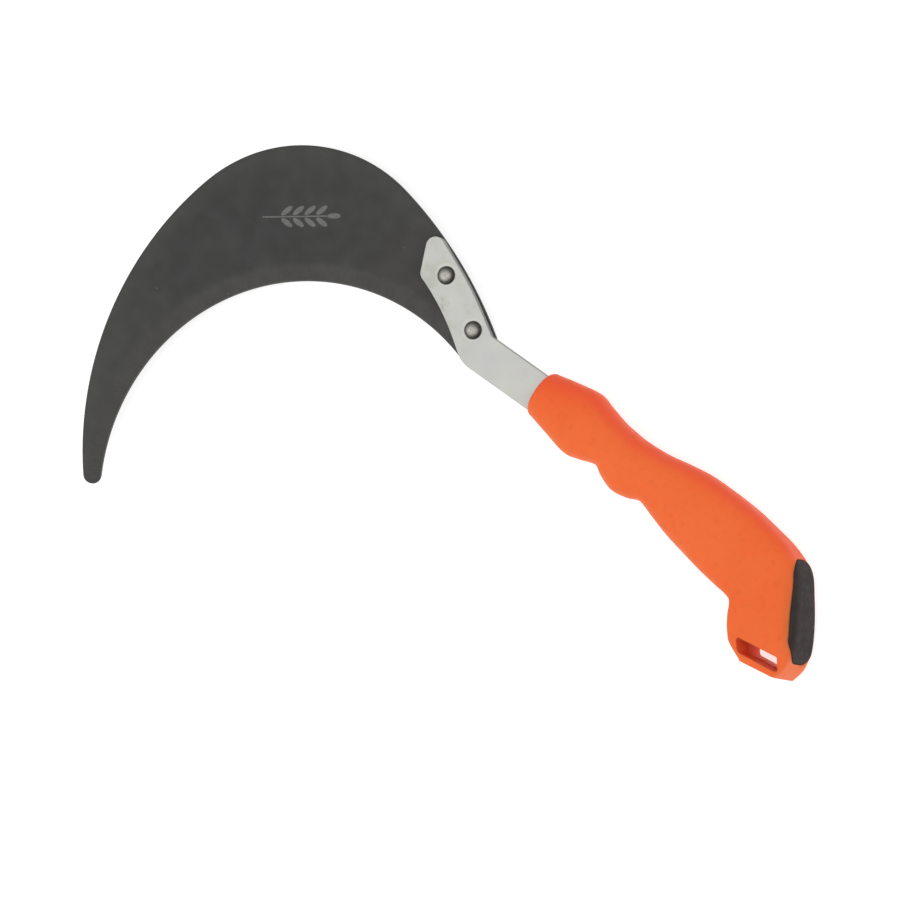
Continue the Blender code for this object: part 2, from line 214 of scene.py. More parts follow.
# Colours, linear.
COAT_DARK = (0.0303, 0.031, 0.0298)
COAT_LIGHT = (0.0361, 0.0361, 0.0338)
COAT_WARM = (0.043, 0.0385, 0.0345)
COAT_RUBBED_AND_SHEEN = (0.0478, 0.0473, 0.0443)
GROUND_DARK = (0.0385, 0.0365, 0.034)
GROUND_LIGHT = (0.047, 0.0455, 0.0425)
SPECK_COLOUR = (0.25, 0.25, 0.24)
BARE_EDGE = (0.20, 0.20, 0.19)
MARK_COLOUR = (0.18, 0.18, 0.17)
ZINC_DARK = (0.5, 0.505, 0.47)
ZINC_LIGHT = (0.55, 0.55, 0.535)
ZINC_GREEN = (0.46, 0.475, 0.4)
ZINC_HIGHLIGHT_AND_BURNISH = (0.7387, 0.733, 0.6977)
ZINC_DIRT_AND_SHADE = (0.0684, 0.065, 0.057)
ZINC_SCUFF = (0.24, 0.235, 0.22)
ZINC_SHEARED_AND_SHADE = (0.24, 0.24, 0.225)
RIVET_FOOT_SHADE_AND_DIRT = (0.036, 0.0342, 0.03)
RIVET_CROWN_HIGHLIGHT = (0.42, 0.41, 0.37)
RIVET_STAIN = (0.16, 0.155, 0.14)
ORANGE = (0.95, 0.162, 0.041)
ORANGE_LIGHT = (0.98, 0.18, 0.05)
ORANGE_BACK_SHADE = (0.95, 0.106, 0.04)
ORANGE_DEEP = (0.68, 0.085, 0.020)
ORANGE_EDGE_HIGHLIGHT = (0.88, 0.22, 0.09)
RUBBER_DARK = (0.036, 0.027, 0.0255)
RUBBER_LIGHT = (0.044, 0.034, 0.032)
RUBBER_EDGE_HIGHLIGHT = (0.08, 0.062, 0.058)

# Studio, in metres and watts.
FLOOR_HALF_WIDTH = 12.0
FLOOR_SEGMENTS = 8
FLOOR_DROP = 0.0002  # how far the floor lies under the tool
FLOOR_BASE = (0.6, 0.6, 0.6, 1.0)
FLOOR_ROUGHNESS = 0.9
FLOOR_GLOW = 0.7  # emission strength
WHITE = (1.0, 1.0, 1.0, 1.0)
WORLD_LIGHT = 0.38  # strength of the even white surroundings
LIGHT_DISTANCE = 2.0
LIGHT_SIZE = 1.6
LIGHTS = (  # name, direction from the tool, power
    ("key", (-0.33, -0.35, 0.88), 14.0),
    ("fill", (0.38, 0.2, 0.9), 14.0),
)

# Camera: a long lens that looks along the tool's thickness, tilted towards the heel.
VIEW_TILT = 21.0  # degrees from straight above
VIEW_TILT_BEARING = 23.7  # which way it tilts, in the drawing's plane
VIEW_ROLL_BEARING = 34.0  # the drawing's direction that runs to the right of the picture
VIEW_CENTRE = (-17.3, -39.5, 0.0)  # the drawing's point at the middle of the picture, in millimetres
VIEW_WIDTH = 0.36
VIEW_DISTANCE = 14.0
VIEW_END = 100.0  # farthest distance that the camera draws
SENSOR_WIDTH = 36.0  # of the film, in millimetres

# The frame's own place for the drawing's origin.
rivet_low, rivet_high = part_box("rivet_front")
rivet_middle = (rivet_low + rivet_high) / 2
strap_low, strap_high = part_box("tang_strap")
ORIGIN = Vector(
    (
        rivet_middle.x - RIVET_FRONT[0] * MM,
        rivet_middle.y - RIVET_FRONT[1] * MM,
        (strap_low.z + strap_high.z) / 2,
    )
)


# Plane geometry, in millimetres.


def polar(centre, radius, degrees):
    turn = math.radians(degrees)
    return (centre[0] + radius * math.cos(turn), centre[1] + radius * math.sin(turn))


def bearing(centre, point):
    return math.degrees(math.atan2(point[1] - centre[1], point[0] - centre[0]))


def arc(centre, radius, start, end):
    """Points from start to end degrees, both included."""
    length = abs(math.radians(end - start)) * radius
    steps = max(LEAST_STEPS, math.ceil(length / CURVE_STEP))
    return [polar(centre, radius, start + (end - start) * i / steps) for i in range(steps + 1)]


def circles_meet(centre_a, radius_a, centre_b, radius_b):
    """The two points where two circles cross."""
    a, b = Vector(centre_a), Vector(centre_b)
    apart = (b - a).length
    along = (radius_a**2 - radius_b**2 + apart**2) / (2 * apart)
    off = math.sqrt(radius_a**2 - along**2)
    axis = (b - a) / apart
    side = Vector((-axis.y, axis.x))
    return [tuple(a + axis * along + side * off * sign) for sign in (1, -1)]


def rounded(corners):
    """A closed outline through (x, y, radius) corners, each replaced by its fillet."""
    points = []
    for i, (x, y, radius) in enumerate(corners):
        here = Vector((x, y))
        back = (Vector(corners[i - 1][:2]) - here).normalized()
        ahead = (Vector(corners[(i + 1) % len(corners)][:2]) - here).normalized()
        half = back.angle(ahead) / 2
        if radius == 0:
            points.append(tuple(here))
            continue
        centre = here + (back + ahead).normalized() * radius / math.sin(half)
        start = here + back * radius / math.tan(half) - centre
        end = here + ahead * radius / math.tan(half) - centre
        sweep = start.angle_signed(end)
        segments = max(LEAST_STEPS, math.ceil(abs(sweep) * radius / CURVE_STEP))
        for step in range(segments + 1):
            turned_by = Matrix.Rotation(-sweep * step / segments, 2) @ start
            points.append(tuple(centre + turned_by))
    return points


def drawn_in(corners, distance):
    """The same corners with every side of the outline moved in, and the radii kept."""
    moved = []
    for i, (x, y, radius) in enumerate(corners):
        here = Vector((x, y))
        back = (Vector(corners[i - 1][:2]) - here).normalized()
        ahead = (Vector(corners[(i + 1) % len(corners)][:2]) - here).normalized()
        inward = (back + ahead).normalized() / math.sin(back.angle(ahead) / 2)
        moved.append((*(here + inward * distance), radius))
    return moved


def respaced(points, count, crowding):
    """count points along a run of points. A crowding of 1 spaces them evenly, and more crowds its end."""
    path = np.array(points, float)
    lengths = np.concatenate([[0], np.cumsum(np.linalg.norm(np.diff(path, axis=0), axis=1))])
    share = 1 - (1 - np.linspace(0, 1, count)) ** crowding
    wanted = share * lengths[-1]
    return np.column_stack([np.interp(wanted, lengths, path[:, k]) for k in (0, 1)])


# Meshes.


def new_object(name, mesh):
    obj = bpy.data.objects.new(name, mesh)
    bpy.context.scene.collection.objects.link(obj)
    return obj


def from_bmesh(bm, name):
    """An object from a bmesh in millimetres, its faces pointing out."""
    bmesh.ops.recalc_face_normals(bm, faces=bm.faces)
    mesh = bpy.data.meshes.new(name)
    bm.to_mesh(mesh)
    bm.free()
    return new_object(name, mesh)


def discard(obj):
    bpy.data.objects.remove(obj, do_unlink=True)


def settle(obj):
    """Replaces the object's mesh with what its modifiers make of it."""
    bpy.context.view_layer.update()
    graph = bpy.context.evaluated_depsgraph_get()
    mesh = bpy.data.meshes.new_from_object(obj.evaluated_get(graph))
    obj.modifiers.clear()
    obj.data = mesh


def to_frame(obj):
    """From the drawing's millimetres to the frame's metres, in the mesh itself."""
    obj.data.transform(Matrix.Translation(ORIGIN) @ Matrix.Scale(MM, 4))


def plate(name, outline, low, high):
    """A flat outline filled as a 2D curve and given its thickness, as a closed mesh."""
    curve = bpy.data.curves.new(name, "CURVE")
    curve.dimensions = "2D"
    curve.fill_mode = "BOTH"
    curve.extrude = (high - low) / 2
    spline = curve.splines.new("POLY")
    spline.points.add(len(outline) - 1)
    for point, (x, y) in zip(spline.points, outline):
        point.co = (x, y, 0, 1)
    spline.use_cyclic_u = True
    drawn = new_object(name + "_curve", curve)
    bpy.context.view_layer.update()
    graph = bpy.context.evaluated_depsgraph_get()
    mesh = bpy.data.meshes.new_from_object(drawn.evaluated_get(graph))
    discard(drawn)
    bm = bmesh.new()
    bm.from_mesh(mesh)
    bmesh.ops.remove_doubles(bm, verts=bm.verts, dist=0.001)
    bmesh.ops.dissolve_limit(bm, angle_limit=0.001, verts=bm.verts, edges=bm.edges)
    bmesh.ops.translate(bm, vec=(0, 0, (low + high) / 2), verts=bm.verts)
    return from_bmesh(bm, name)


def turned(name, profile, centre, steps):
    """A profile of (radius, height), top to bottom, turned round a vertical axis."""
    bm = bmesh.new()
    verts = [bm.verts.new((radius, 0, height)) for radius, height in profile]
    for first, second in zip(verts, verts[1:]):
        bm.edges.new((first, second))
    bmesh.ops.spin(
        bm,
        geom=bm.verts[:] + bm.edges[:],
        axis=(0, 0, 1),
        cent=(0, 0, 0),
        steps=steps,
        angle=2 * math.pi,
    )
    bmesh.ops.remove_doubles(bm, verts=bm.verts, dist=0.0005)
    bmesh.ops.translate(bm, vec=(*centre, 0), verts=bm.verts)
    return from_bmesh(bm, name)


def boolean(obj, cutter, operation="DIFFERENCE"):
    modifier = obj.modifiers.new(cutter.name, "BOOLEAN")
    modifier.operation = operation
    modifier.object = cutter
    modifier.solver = "EXACT"
    settle(obj)
    discard(cutter)


def rounded_shading(obj, degrees):
    """Smooth shading, with creases kept where faces meet at more than the given angle."""
    obj.data.shade_smooth()
    obj.data.set_sharp_from_angle(angle=math.radians(degrees))


# Blade.


def blade_rails():
    """The blade's two long sides from heel to tip: the cutting edge, then the back."""
    spine_centre = polar(CROWN_CENTRE, CROWN_RADIUS - SPINE_RADIUS, SPINE_JOIN)
    flank_centre = polar(CROWN_CENTRE, CROWN_RADIUS - FLANK_RADIUS, FLANK_JOIN)
    tip_centre = min(
        circles_meet(flank_centre, FLANK_RADIUS - TIP_RADIUS, EDGE_CENTRE, EDGE_RADIUS + TIP_RADIUS),
        key=lambda point: point[0],
    )
    flank_end = bearing(flank_centre, tip_centre) % 360
    tip_end = bearing(tip_centre, EDGE_CENTRE) % 360 + 360
    tip_middle = (flank_end + tip_end) / 2
    edge_start = bearing(EDGE_CENTRE, tip_centre) % 360
    heel_back, heel_edge = BLADE_HEEL
    back = arc(spine_centre, SPINE_RADIUS, bearing(spine_centre, heel_back), SPINE_JOIN)
    back += arc(CROWN_CENTRE, CROWN_RADIUS, SPINE_JOIN, FLANK_JOIN)[1:]
    back += arc(flank_centre, FLANK_RADIUS, FLANK_JOIN, flank_end)[1:]
    back += arc(tip_centre, TIP_RADIUS, flank_end, tip_middle)[1:]
    edge = arc(EDGE_CENTRE, EDGE_RADIUS, bearing(EDGE_CENTRE, heel_edge), edge_start)
    edge += arc(tip_centre, TIP_RADIUS, tip_end, tip_middle)[1:]
    return edge, back


def grind_drop(distance):
    """How far the ground face lies under the flat one, at a distance from the cutting edge."""
    slope = (BLADE_THICK - EDGE_LAND) / GRIND_WIDTH
    inside = (GRIND_WIDTH - distance) / GRIND_SOFTNESS
    return slope * GRIND_SOFTNESS * np.logaddexp(0, GRIND_BEND * inside) / GRIND_BEND


def blade_height(upper, out, inwards, width):
    """Height of a skin at a place, from its distances to edge and back and the blade's width there."""
    off_round = max(0.0, 1 - inwards / BACK_ROUND)
    dip = BACK_ROUND * (1 - math.sqrt(1 - off_round**2)) if width > ROUNDED_WIDTH else 0.0
    if upper:
        height = BLADE_TOP - min(float(grind_drop(out)), BLADE_THICK - EDGE_LAND) - dip
        return max(height, BLADE_LOW + LEAST_LAND)
    return BLADE_LOW + min(dip, UNDER_ROUND)


def blade_skin(bm, edge, back, upper, from_back):
    """Rows of vertices from edge to back. The distance of each from the back is added to from_back."""
    width = np.linalg.norm(back - edge, axis=1)
    corner = np.minimum(BACK_ROUND / np.maximum(width, 1e-6), MOST_CORNER)
    even = np.linspace(0, 1, BLADE_ACROSS)
    skin = []
    for i in range(BLADE_STATIONS):
        shares = [*(even[:-1] * (1 - corner[i])), *(1 - corner[i] * part for part in CORNER_ROWS)]
        row = []
        for share in shares:
            x, y = edge[i] + (back[i] - edge[i]) * share
            inwards = (1 - share) * width[i]
            out = math.hypot(x - EDGE_CENTRE[0], y - EDGE_CENTRE[1]) - EDGE_RADIUS
            row.append(bm.verts.new((x, y, blade_height(upper, out, inwards, width[i]))))
            from_back.append(inwards)
        skin.append(row)
    return skin


def close_skins(bm, upper, lower):
    """Faces over both skins, then between them along the edge, the back and the heel."""
    for skin in (upper, lower):
        for row, following in zip(skin, skin[1:]):
            for k in range(len(row) - 1):
                bm.faces.new((row[k], following[k], following[k + 1], row[k + 1]))
    rims = (
        [(above[0], below[0]) for above, below in zip(upper, lower)],
        [(above[-1], below[-1]) for above, below in zip(upper, lower)],
        list(zip(upper[0], lower[0])),
    )
    for rim in rims:
        for (a, b), (c, d) in zip(rim, rim[1:]):
            bm.faces.new((a, c, d, b))


def make_blade(look):
    """Two skins between the rails, with the grind and the broken back corners in their heights."""
    edge, back = (respaced(rail, BLADE_STATIONS, TIP_CROWDING) for rail in blade_rails())
    bm = bmesh.new()
    from_back = []
    upper, lower = (blade_skin(bm, edge, back, side, from_back) for side in (True, False))
    close_skins(bm, upper, lower)
    distance = bm.verts.layers.float.new("from_back")
    bm.verts.ensure_lookup_table()
    for vert, value in zip(bm.verts, from_back):
        vert[distance] = value
    bmesh.ops.remove_doubles(bm, verts=bm.verts, dist=0.002)
    blade = from_bmesh(bm, "blade_steel")
    for centre in (RIVET_FRONT, RIVET_REAR):
        boolean(blade, drill(centre, BLADE_LOW - CUT, BLADE_TOP + CUT))
    rounded_shading(blade, BLADE_CREASE)
    dress(blade, look, "blade")


def drill(centre, low, high):
    radius = SHANK_RADIUS + GAP
    return turned("drill", ((0, high), (radius, high), (radius, low), (0, low)), centre, DRILL_STEPS)


# Tang strap and rivets.


def strap_outline(grow=0.0, barbs=True):
    """Paddle, neck and tang. With grow and no barbs it is the outline of the handle's socket."""
    neck = NECK_WIDTH / 2 + grow
    tang = TANG_WIDTH / 2 + grow
    end = TANG_LENGTH + grow
    shoulder = SHOULDER_X + grow
    lower = [(shoulder, -neck, SHOULDER_RADIUS), (shoulder, -tang, SHOULDER_RADIUS)]
    if barbs:
        for i in range(BARB_COUNT):
            x = SHOULDER_X + BARB_PITCH * (i + 1)
            lower += [(x, -tang, 0), (x, -tang + BARB_DEPTH, 0)]
            tang -= BARB_TAPER
            lower += [(x + 2 * BARB_DEPTH, -tang, 0)]
    lower += [(end - TANG_NOSE, -tang, TANG_NOSE_RADIUS), (end, -tang + TANG_NOSE, TANG_NOSE_RADIUS)]
    upper = [(x, -y, radius) for x, y, radius in reversed(lower)]
    return rounded([*lower, *upper, *PADDLE_CORNERS])


def make_strap(look):
    half = STRAP_THICK / 2
    strap = plate("strap_steel", strap_outline(), -half, half)
    for centre in (RIVET_FRONT, RIVET_REAR):
        boolean(strap, drill(centre, -half - CUT, half + CUT))
    strap.data.shade_smooth()
    bevel = strap.modifiers.new("Rolled edge", "BEVEL")
    bevel.width = STRAP_ROUND
    bevel.segments = 4
    bevel.limit_method = "ANGLE"
    bevel.angle_limit = math.radians(50)
    bevel.harden_normals = True
    settle(strap)
    dress(strap, look, "tang_strap")


def rivet_profile():
    """(radius, height) from the top of the head to the bottom of the tail."""
    base = STRAP_THICK / 2 + RIVET_SEAT
    tail_top = BLADE_LOW - RIVET_SEAT
    wide, tall = HEAD_FULLNESS
    profile = [(0.0, base + HEAD_HEIGHT)]
    for degrees in range(10, 91, 8):
        turn = math.radians(degrees)
        profile.append((HEAD_RADIUS * math.sin(turn) ** wide, base + HEAD_HEIGHT * math.cos(turn) ** tall))
    profile += [(HEAD_RADIUS, base + HEAD_TUCK), (HEAD_RADIUS - HEAD_TUCK, base), (SHANK_RADIUS, base)]
    profile += [(SHANK_RADIUS, tail_top), (TAIL_RADIUS - TAIL_BEVEL, tail_top)]
    profile += [(TAIL_RADIUS, tail_top - TAIL_RIM)]
    dome_top = tail_top - TAIL_DOME_START
    for degrees in range(80, 9, -10):
        turn = math.radians(degrees)
        profile.append((TAIL_RADIUS * math.sin(turn), dome_top - TAIL_DOME_HEIGHT * math.cos(turn)))
    profile.append((0.0, tail_top - TAIL_HEIGHT + TAIL_FLAT))
    return profile


def make_rivet(name, node, centre, look):
    """A domed head with a tucked-in foot, a shank, and a tail spread by the setting tool."""
    rivet = turned(name, rivet_profile(), centre, RIVET_STEPS)
    rounded_shading(rivet, RIVET_CREASE)
    dress(rivet, look, node)


# Handle and heel pad.


def through(values, steps):
    """A smooth run through the given rows, with steps rows for each interval (Catmull-Rom)."""
    rows = np.array(values, float)
    padded = np.vstack([2 * rows[0] - rows[1], rows, 2 * rows[-1] - rows[-2]])
    out = []
    for i in range(len(rows) - 1):
        before, start, end, after = padded[i : i + 4]
        for t in np.arange(steps) / steps:
            bend = 2 * before - 5 * start + 4 * end - after
            twist = 3 * start - before - 3 * end + after
            out.append(start + 0.5 * t * (end - before + t * (bend + t * twist)))
    out.append(rows[-1])
    return np.array(out)


def grip_rings(grow):
    """Rings of points round the handle from its mouth to its toe."""
    rows = [(*palm, *back, half, square) for palm, back, half, square in SECTIONS]
    rows = through(rows, RINGS_PER_SECTION)
    ends = []
    for row, radius, sign in ((rows[0], MOUTH_ROUND, -1), (rows[-1], TOE_ROUND, 1)):
        for degrees in END_TURNS:
            inset = radius * (1 - math.cos(math.radians(degrees)))
            ends.append((row, inset, sign * radius * math.sin(math.radians(degrees))))
    count = len(END_TURNS)
    sections = [*reversed(ends[:count]), *((row, 0.0, 0.0) for row in rows), *ends[count:]]
    turns = np.linspace(0, 2 * np.pi, RING_POINTS, endpoint=False)
    rings = []
    for row, inset, ahead in sections:
        palm, back = row[0:2], row[2:4]
        across = (back - palm) / np.linalg.norm(back - palm)
        forward = np.array((across[1], -across[0]))
        middle = (palm + back) / 2 + forward * (ahead + math.copysign(grow, ahead) * (ahead != 0))
        half_width = np.linalg.norm(back - palm) / 2 - inset + grow
        half_thick = row[4] - inset + grow
        side = np.sign(np.cos(turns)) * np.abs(np.cos(turns)) ** (2 / row[5])
        rise = np.sign(np.sin(turns)) * np.abs(np.sin(turns)) ** (2 / row[5])
        flat = middle + np.outer(half_width * side, across)
        rings.append(np.column_stack([flat, half_thick * rise]))
    return rings


def grip_body(name, grow):
    """The handle's outer form as a closed loft."""
    bm = bmesh.new()
    rings = [[bm.verts.new(point) for point in ring] for ring in grip_rings(grow)]
    for first, second in zip(rings, rings[1:]):
        for i in range(RING_POINTS):
            j = (i + 1) % RING_POINTS
            bm.faces.new((first[i], first[j], second[j], second[i]))
    bm.faces.new(rings[0])
    bm.faces.new(rings[-1])
    return from_bmesh(bm, name)


def pad_block(name, grow):
    """A block behind the heel with the pad's oval outline, from the pad's seat outwards."""
    top, bottom = Vector(PAD_ENDS[0]), Vector(PAD_ENDS[1])
    half_length = (bottom - top).length / 2 + grow
    narrow, middle, wide = (half_width + grow for half_width in PAD_HALF_WIDTHS)
    narrow_radius, wide_radius = (radius + grow for radius in PAD_CORNER_RADII)
    oval = rounded(
        [
            (half_length, wide, wide_radius),
            (0, middle, PAD_SIDE_RADIUS),
            (-half_length, narrow, narrow_radius),
            (-half_length, -narrow, narrow_radius),
            (0, -middle, PAD_SIDE_RADIUS),
            (half_length, -wide, wide_radius),
        ]
    )
    block = plate(name, oval, -PAD_SEAT - grow, PAD_REACH)
    down = (bottom - top).normalized()
    outward = Vector((-down.y, down.x))
    turn = Matrix(((down.x, 0, outward.x, 0), (down.y, 0, outward.y, 0), (0, -1, 0, 0), (0, 0, 0, 1)))
    centre = (top + bottom) / 2
    block.data.transform(Matrix.Translation((centre.x, centre.y, 0)) @ turn)
    return block


def make_grip(look):
    grip = grip_body("grip_moulding", 0.0)
    half = STRAP_THICK / 2 + GAP
    boolean(grip, plate("socket", strap_outline(GAP, barbs=False), -half, half))
    high = max(section[2] for section in SECTIONS) + CUT
    boolean(grip, plate("slot_upper", rounded(SLOT_CORNERS), 0, high))
    boolean(grip, plate("slot_lower", rounded(drawn_in(SLOT_CORNERS, SLOT_STEP)), -high, CUT))
    boolean(grip, pad_block("pad_pocket", GAP))
    rounded_shading(grip, MOULDED_CREASE)
    dress(grip, look, "handle_grip")


def make_pad(look):
    pad = pad_block("pad_rubber", 0.0)
    boolean(pad, grip_body("pad_crown", PAD_PROUD), "INTERSECT")
    rounded_shading(pad, MOULDED_CREASE)
    dress(pad, look, "heel_pad")


def dress(obj, look, node):
    """Places a finished mesh in the frame with its material, riding there in its CAD node's stead."""
    obj.data.materials.clear()
    obj.data.materials.append(look)
    to_frame(obj)
    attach(obj, "root")
    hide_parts(node)


# Materials.


class Look:
    """A node material, with short calls for the nodes it is made of. Lengths are in millimetres."""

    def __init__(self, name, metallic=0.0, specular=0.5):
        self.material = bpy.data.materials.new(name)
        self.material.use_nodes = True
        self.tree = self.material.node_tree
        self.shader = self.tree.nodes["Principled BSDF"]
        self.shader.inputs["Metallic"].default_value = metallic
        self.shader.inputs["Specular IOR Level"].default_value = specular
        place = self.tree.nodes.new("ShaderNodeTexCoord").outputs["Object"]
        move = self.vector("SUBTRACT", place, tuple(ORIGIN))
        self.place = self.vector("SCALE", move, scale=1 / MM)
        self.x, self.y, self.z = self.split(self.place)

    def feed(self, socket, value):
        """Sets a socket, or links one to it."""
        if isinstance(value, bpy.types.NodeSocket):
            self.tree.links.new(value, socket)
        elif socket.type == "RGBA":
            socket.default_value = (*value, 1.0)
        else:
            socket.default_value = value

    def math(self, operation, a, b=0.0):
        node = self.tree.nodes.new("ShaderNodeMath")
        node.operation = operation
        self.feed(node.inputs[0], a)
        self.feed(node.inputs[1], b)
        return node.outputs[0]

    def times(self, *values):
        product = values[0]
        for value in values[1:]:
            product = self.math("MULTIPLY", product, value)
        return product

    def vector(self, operation, a, b=(0.0, 0.0, 0.0), scale=1.0):
        node = self.tree.nodes.new("ShaderNodeVectorMath")
        node.operation = operation
        self.feed(node.inputs[0], a)
        self.feed(node.inputs[1], b)
        node.inputs[3].default_value = scale
        single = operation in ("LENGTH", "DISTANCE", "DOT_PRODUCT")
        return node.outputs["Value" if single else "Vector"]

    def split(self, vector):
        node = self.tree.nodes.new("ShaderNodeSeparateXYZ")
        self.feed(node.inputs[0], vector)
        return node.outputs

    def join(self, x, y, z):
        node = self.tree.nodes.new("ShaderNodeCombineXYZ")
        for socket, value in zip(node.inputs, (x, y, z)):
            self.feed(socket, value)
        return node.outputs[0]

    def turned_plane(self, centre, degrees):
        """Place in the plane, measured from a centre along and across a bearing."""
        cosine, sine = math.cos(math.radians(degrees)), math.sin(math.radians(degrees))
        x = self.math("SUBTRACT", self.x, centre[0])
        y = self.math("SUBTRACT", self.y, centre[1])
        along = self.math("ADD", self.times(x, cosine), self.times(y, sine))
        across = self.math("SUBTRACT", self.times(y, cosine), self.times(x, sine))
        return along, across

    def distance(self, centre):
        """Distance in the plane from a centre."""
        return self.vector("DISTANCE", self.join(self.x, self.y, 0.0), (*centre, 0.0))

    def noise(self, size, detail=2.0, vector=None):
        """Soft noise, 0 to 1, with features of about the given size."""
        node = self.tree.nodes.new("ShaderNodeTexNoise")
        self.feed(node.inputs["Vector"], vector or self.place)
        node.inputs["Scale"].default_value = 1 / size
        node.inputs["Detail"].default_value = detail
        return node.outputs["Fac"]

    def streaks(self, along, across, length, width, detail=2.0):
        """Noise drawn out into streaks of a length and width."""
        drawn_out = self.join(self.times(along, 1 / length), self.times(across, 1 / width), 0.0)
        return self.noise(1.0, detail, drawn_out)

    def cells(self, size):
        """Distance from the nearest of scattered points, in units of the size."""
        node = self.tree.nodes.new("ShaderNodeTexVoronoi")
        self.feed(node.inputs["Vector"], self.place)
        node.inputs["Scale"].default_value = 1 / size
        return node.outputs["Distance"]

    def fade(self, value, start, end, low=0.0, high=1.0):
        """low before start, high after end, and smooth between; end may be below start."""
        node = self.tree.nodes.new("ShaderNodeMapRange")
        node.interpolation_type = "SMOOTHSTEP"
        if end < start:
            start, end, low, high = end, start, high, low
        self.feed(node.inputs["Value"], value)
        node.inputs["From Min"].default_value = start
        node.inputs["From Max"].default_value = end
        node.inputs["To Min"].default_value = low
        node.inputs["To Max"].default_value = high
        return node.outputs["Result"]

    def blend(self, share, first, second):
        node = self.tree.nodes.new("ShaderNodeMix")
        node.data_type = "RGBA"
        self.feed(node.inputs[0], share)
        self.feed(node.inputs[6], first)
        self.feed(node.inputs[7], second)
        return node.outputs[2]

    def attribute(self, name):
        node = self.tree.nodes.new("ShaderNodeAttribute")
        node.attribute_name = name
        return node.outputs["Fac"]

    def facing_up(self):
        """1 where the surface faces straight up, 0 at its sides and -1 underneath."""
        normal = self.tree.nodes.new("ShaderNodeNewGeometry").outputs["Normal"]
        return self.split(normal)[2]

    def broken_edges(self, radius):
        """A normal that rounds sharp edges off over the radius, and a mask of those edges."""
        node = self.tree.nodes.new("ShaderNodeBevel")
        node.samples = 6
        node.inputs["Radius"].default_value = radius * MM
        flat = self.tree.nodes.new("ShaderNodeNewGeometry").outputs["Normal"]
        turn = self.vector("DOT_PRODUCT", node.outputs["Normal"], flat)
        return node.outputs["Normal"], self.fade(turn, 0.98, 0.8)

    def bump(self, height, depth, normal=None):
        """Relief as deep as the given length where the height goes from 0 to 1."""
        node = self.tree.nodes.new("ShaderNodeBump")
        node.inputs["Distance"].default_value = depth * MM
        self.feed(node.inputs["Height"], height)
        if normal:
            self.feed(node.inputs["Normal"], normal)
        return node.outputs["Normal"]

    def finish(self, colour, roughness, normal):
        self.feed(self.shader.inputs["Base Color"], colour)
        self.feed(self.shader.inputs["Roughness"], roughness)
        self.feed(self.shader.inputs["Normal"], normal)
        return self.material


def wheat_ear(look):
    """A mask of a small ear of wheat: pairs of leaning grains along a stem, and one more at its end."""
    along, across = look.turned_plane(MARK_CENTRE, MARK_BEARING)
    across = look.math("ABSOLUTE", across)
    lean = math.radians(GRAIN_LEAN)
    pitches = look.times(look.math("SUBTRACT", along, EAR_START), 1 / GRAIN_PITCH)
    cell = look.math("SUBTRACT", look.math("FRACT", pitches), 0.5)
    ahead = look.times(cell, GRAIN_PITCH)
    out = look.math("SUBTRACT", across, GRAIN_OUT)
    grain_u = look.math("ADD", look.times(ahead, math.cos(lean)), look.times(out, math.sin(lean)))
    grain_v = look.math("SUBTRACT", look.times(out, math.cos(lean)), look.times(ahead, math.sin(lean)))
    ear_end = EAR_START + GRAIN_PAIRS * GRAIN_PITCH
    stem_start = EAR_START - STEM_LENGTH
    beyond = look.math("SUBTRACT", along, ear_end + GRAIN_LENGTH / 2)
    shapes = []
    for u, v in ((grain_u, grain_v), (beyond, across)):
        oval = look.join(look.times(u, 2 / GRAIN_LENGTH), look.times(v, 2 / GRAIN_WIDTH), 0.0)
        shapes.append(look.fade(look.vector("LENGTH", oval), 1.08, 0.94))
    after_start = look.fade(along, EAR_START, EAR_START + 0.1)
    inside = look.times(after_start, look.fade(along, ear_end, ear_end - 0.1))
    stem = look.times(
        look.fade(across, 0.34, 0.22),
        look.fade(along, stem_start, stem_start + 0.2),
        look.fade(along, ear_end, ear_end - 0.2),
    )
    return look.math("MAXIMUM", look.math("MAXIMUM", look.times(shapes[0], inside), shapes[1]), stem)


def baked_coat(look, mottle):
    """The coating's colour: mottled, warmer near the strap, with a painted sheen along the back, and
    rubbed at the tip.
    """
    coat = look.blend(look.fade(look.noise(26, 3.0), 0.35, 0.65), COAT_DARK, COAT_LIGHT)
    # Painted sheen: lighter along the back, where the rounded back edge would catch the light.
    painted_back_sheen = look.fade(look.attribute("from_back"), 12.0, 0.0, 0.0, 0.8)
    smudges = look.fade(look.noise(18, 2.0), 0.55, 0.75, 0.0, 0.15)
    near_strap = look.fade(look.distance(RIVET_REAR), 75.0, 15.0, 0.0, 0.8)
    near_tip = look.fade(look.y, -40, -100, 0.0, 0.8)
    for share, tint in (
        (look.fade(mottle, 0.45, 0.75, 0.0, 0.2), COAT_WARM),
        (painted_back_sheen, COAT_RUBBED_AND_SHEEN),
        (smudges, COAT_RUBBED_AND_SHEEN),
        (near_strap, COAT_WARM),
        (near_tip, COAT_RUBBED_AND_SHEEN),
    ):
        coat = look.blend(share, coat, tint)
    return coat


